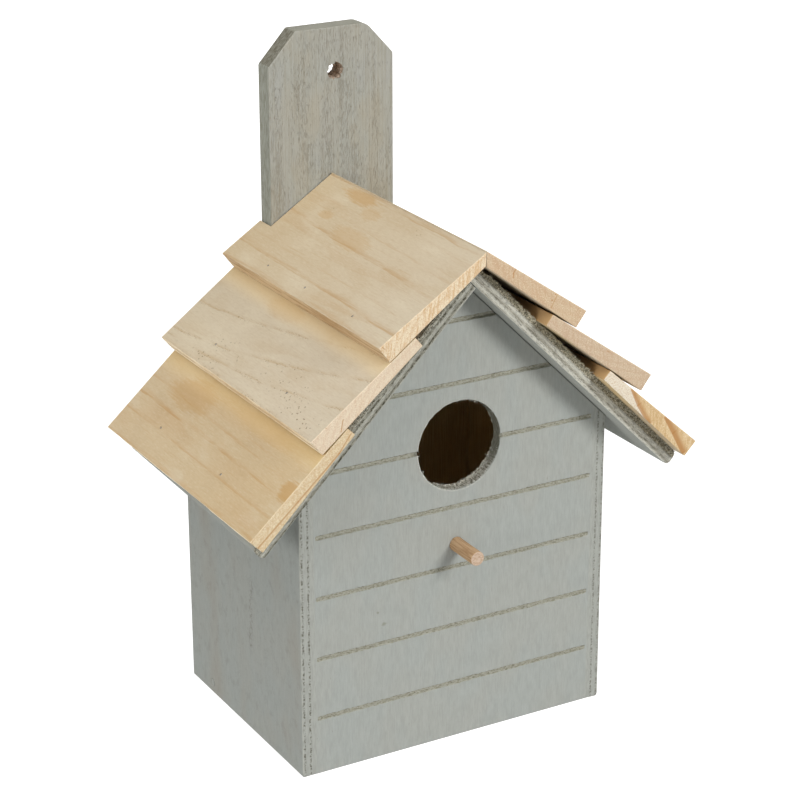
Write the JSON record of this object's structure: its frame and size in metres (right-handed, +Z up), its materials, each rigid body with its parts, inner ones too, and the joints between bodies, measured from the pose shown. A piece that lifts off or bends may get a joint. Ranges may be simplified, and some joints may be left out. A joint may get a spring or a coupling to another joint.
{
  "type": "wall-mounted birdhouse",
  "caption": "Plywood nest box with round entrance, dowel perch, shingled gable roof, hanging board and hinged clean-out floor.",
  "frame": {"origin": "middle of the footprint, on the level of the walls' lower edges", "axes": "+Z up, -Y out of the entrance, +Y out of the face that lies on the wall it hangs on, +X to the right seen from the front"},
  "size_m": [0.1724, 0.1138, 0.2354],
  "materials": {
    "painted_ply": "matt grey paint on plywood",
    "bare_pine": "bare planed pine",
    "bare_dowel": "bare hardwood dowel",
    "steel": "plain steel fasteners"
  },
  "bodies": {
    "house": {"front_wall": "painted_ply", "perch": "bare_dowel", "back_wall": "painted_ply", "back_board": "painted_ply", "left_wall": "painted_ply", "right_wall": "painted_ply", "left_roof_panel": "painted_ply", "right_roof_panel": "painted_ply", "left_ridge_shingle": "bare_pine", "left_middle_shingle": "bare_pine", "left_eave_shingle": "bare_pine", "right_ridge_shingle": "bare_pine", "right_middle_shingle": "bare_pine", "right_eave_shingle": "bare_pine", "left_ridge_brad_1": "steel", "left_ridge_brad_2": "steel", "left_ridge_brad_3": "steel", "left_middle_brad_1": "steel", "left_middle_brad_2": "steel", "left_eave_brad_1": "steel", "left_eave_brad_2": "steel", "right_ridge_brad_1": "steel", "right_ridge_brad_2": "steel", "right_ridge_brad_3": "steel", "right_middle_brad_1": "steel", "right_middle_brad_2": "steel", "right_eave_brad_1": "steel", "right_eave_brad_2": "steel", "left_floor_pin": "steel", "right_floor_pin": "steel", "back_board_screw_1": "steel", "back_board_screw_2": "steel", "back_board_screw_3": "steel"},
    "floor": {"floor_panel": "painted_ply"}
  },
  "joints": [
    {"name": "floor_hinge", "type": "hinge", "parent": "house", "child": "floor", "pos_m": [0, 0.03185, 0.00415], "axis": [1, 0, 0], "range_deg": [0, 90]}
  ]
}
